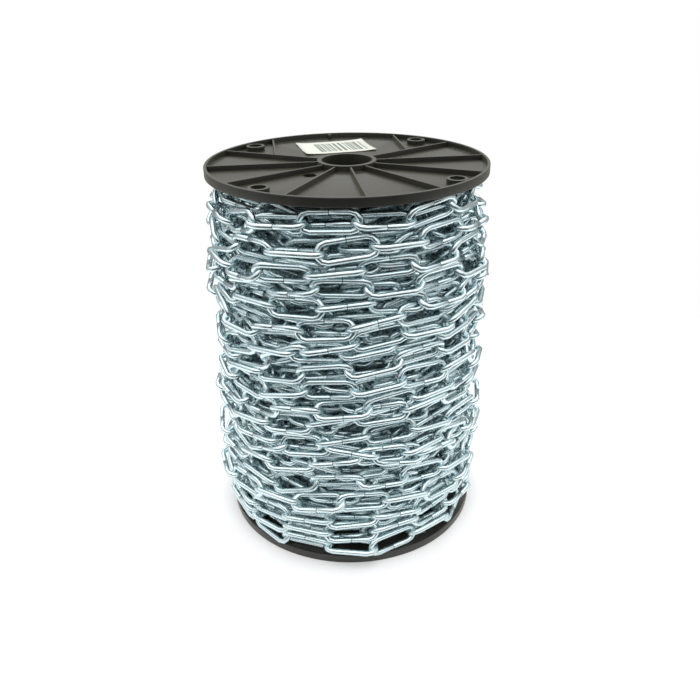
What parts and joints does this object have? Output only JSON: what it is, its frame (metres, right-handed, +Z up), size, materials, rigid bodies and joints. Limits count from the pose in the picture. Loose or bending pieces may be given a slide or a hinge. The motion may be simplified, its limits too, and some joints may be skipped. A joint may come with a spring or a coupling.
{
  "type": "reel of steel chain",
  "caption": "Plastic reel standing on end, fully wound with zinc-plated long-link steel chain, with a spindle bore through its ribbed flanges.",
  "frame": {"origin": "centre of the ring that the reel stands on, on its axis", "axes": "+Z up along the reel's axis, +Y towards the label bay's side of the top flange"},
  "size_m": [0.1996, 0.2002, 0.266],
  "materials": {
    "moulded_plastic": "black injection-moulded polystyrene, semi-gloss",
    "zinc_plated_steel": "bright blue-white zinc plating on drawn wire",
    "label_paper": "matt white label stock with plain grey bars"
  },
  "bodies": {
    "root": {"top_flange": "moulded_plastic", "bottom_flange": "moulded_plastic", "barrel": "moulded_plastic", "label": "label_paper", "chain_inner_turns": "zinc_plated_steel", "chain_outer_turns": "zinc_plated_steel"}
  },
  "joints": []
}
